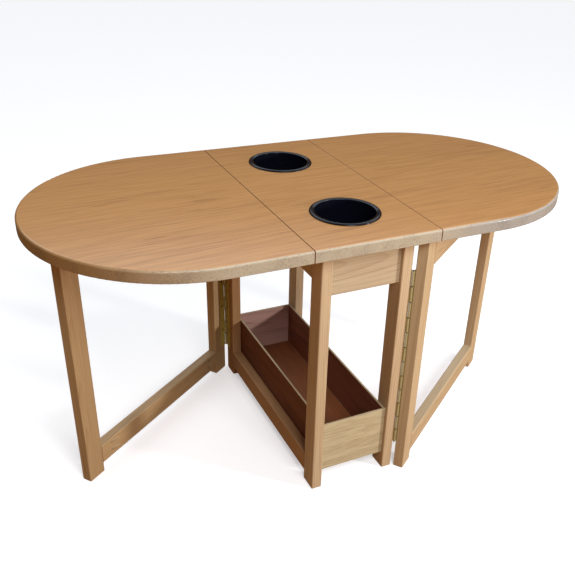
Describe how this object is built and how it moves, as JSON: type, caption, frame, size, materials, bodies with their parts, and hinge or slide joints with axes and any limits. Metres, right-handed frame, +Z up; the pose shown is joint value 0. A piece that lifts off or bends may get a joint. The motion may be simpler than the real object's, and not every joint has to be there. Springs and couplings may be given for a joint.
{
  "type": "gateleg table",
  "caption": "Oval gateleg table: two drop leaves carried by swing-out gates, a narrow central frame with a storage tray, and round drop-in liners in the centre panel.",
  "frame": {"origin": "on the floor, under the centre of the oval top", "axes": "+X along the top's length, towards the right leaf; +Y to the back; +Z up"},
  "size_m": [1.4198, 0.727, 0.7245],
  "materials": {
    "veneered_top": "satin lacquered veneer, beige edges",
    "frame_timber": "satin lacquered solid timber",
    "oak_panel": "satin oak-faced panel",
    "brass": "plain rolled brass",
    "steel_screws": "dark zinc-plated",
    "black_liner": "gloss black moulded plastic"
  },
  "bodies": {
    "frame": {"centre_top": "veneered_top", "front_left_leg": "frame_timber", "front_right_leg": "frame_timber", "back_left_leg": "frame_timber", "back_right_leg": "frame_timber", "left_bottom_rail": "frame_timber", "right_bottom_rail": "frame_timber", "left_top_rail": "frame_timber", "right_top_rail": "frame_timber", "front_apron": "frame_timber", "back_apron": "frame_timber", "tray_floor": "oak_panel", "tray_front": "oak_panel", "tray_back": "oak_panel", "tray_left_side": "oak_panel", "tray_right_side": "oak_panel", "top_fixing_blocks": "frame_timber", "top_fixing_screws": "steel_screws", "left_frame_screws": "steel_screws", "right_frame_screws": "steel_screws", "tray_screws": "steel_screws", "left_gate_hinge_fixed": "brass", "left_gate_hinge_pin": "brass", "left_gate_hinge_leg_screws": "steel_screws", "left_leaf_hinge_fixed": "brass", "left_leaf_hinge_pin": "brass", "left_leaf_hinge_panel_screws": "steel_screws", "right_gate_hinge_fixed": "brass", "right_gate_hinge_pin": "brass", "right_gate_hinge_leg_screws": "steel_screws", "right_leaf_hinge_fixed": "brass", "right_leaf_hinge_pin": "brass", "right_leaf_hinge_panel_screws": "steel_screws"},
    "left_gate": {"left_gate_inner_post": "frame_timber", "left_gate_outer_post": "frame_timber", "left_gate_bottom_rail": "frame_timber", "left_gate_top_rail": "frame_timber", "left_gate_pocket_screws": "steel_screws", "left_gate_hinge_moving": "brass", "left_gate_hinge_post_screws": "steel_screws"},
    "left_leaf": {"left_leaf": "veneered_top", "left_leaf_hinge_moving": "brass", "left_leaf_hinge_leaf_screws": "steel_screws", "left_gate_stop": "frame_timber", "left_gate_stop_screws": "steel_screws"},
    "right_gate": {"right_gate_inner_post": "frame_timber", "right_gate_outer_post": "frame_timber", "right_gate_bottom_rail": "frame_timber", "right_gate_top_rail": "frame_timber", "right_gate_pocket_screws": "steel_screws", "right_gate_hinge_moving": "brass", "right_gate_hinge_post_screws": "steel_screws"},
    "right_leaf": {"right_leaf": "veneered_top", "right_leaf_hinge_moving": "brass", "right_leaf_hinge_leaf_screws": "steel_screws", "right_gate_stop": "frame_timber", "right_gate_stop_screws": "steel_screws"},
    "front_liner": {"front_liner": "black_liner"},
    "back_liner": {"back_liner": "black_liner"}
  },
  "joints": [
    {"name": "left_gate_swing", "type": "hinge", "parent": "frame", "child": "left_gate", "pos_m": [-0.1238, 0.3218, 0.344], "axis": [0, 0, 1], "range_deg": [0, 53.4]},
    {"name": "right_gate_swing", "type": "hinge", "parent": "frame", "child": "right_gate", "pos_m": [0.1238, -0.3218, 0.344], "axis": [0, 0, 1], "range_deg": [0, 54.1]},
    {"name": "left_leaf_lift", "type": "hinge", "parent": "frame", "child": "left_leaf", "pos_m": [-0.162, 0, 0.6872], "axis": [0, 1, 0], "range_deg": [0, 3]},
    {"name": "right_leaf_lift", "type": "hinge", "parent": "frame", "child": "right_leaf", "pos_m": [0.162, 0, 0.6872], "axis": [0, -1, 0], "range_deg": [0, 3]},
    {"name": "front_liner_lift", "type": "slide", "parent": "frame", "child": "front_liner", "axis": [0, 0, 1], "range_m": [0, 0.13]},
    {"name": "back_liner_lift", "type": "slide", "parent": "frame", "child": "back_liner", "axis": [0, 0, 1], "range_m": [0, 0.13]}
  ]
}
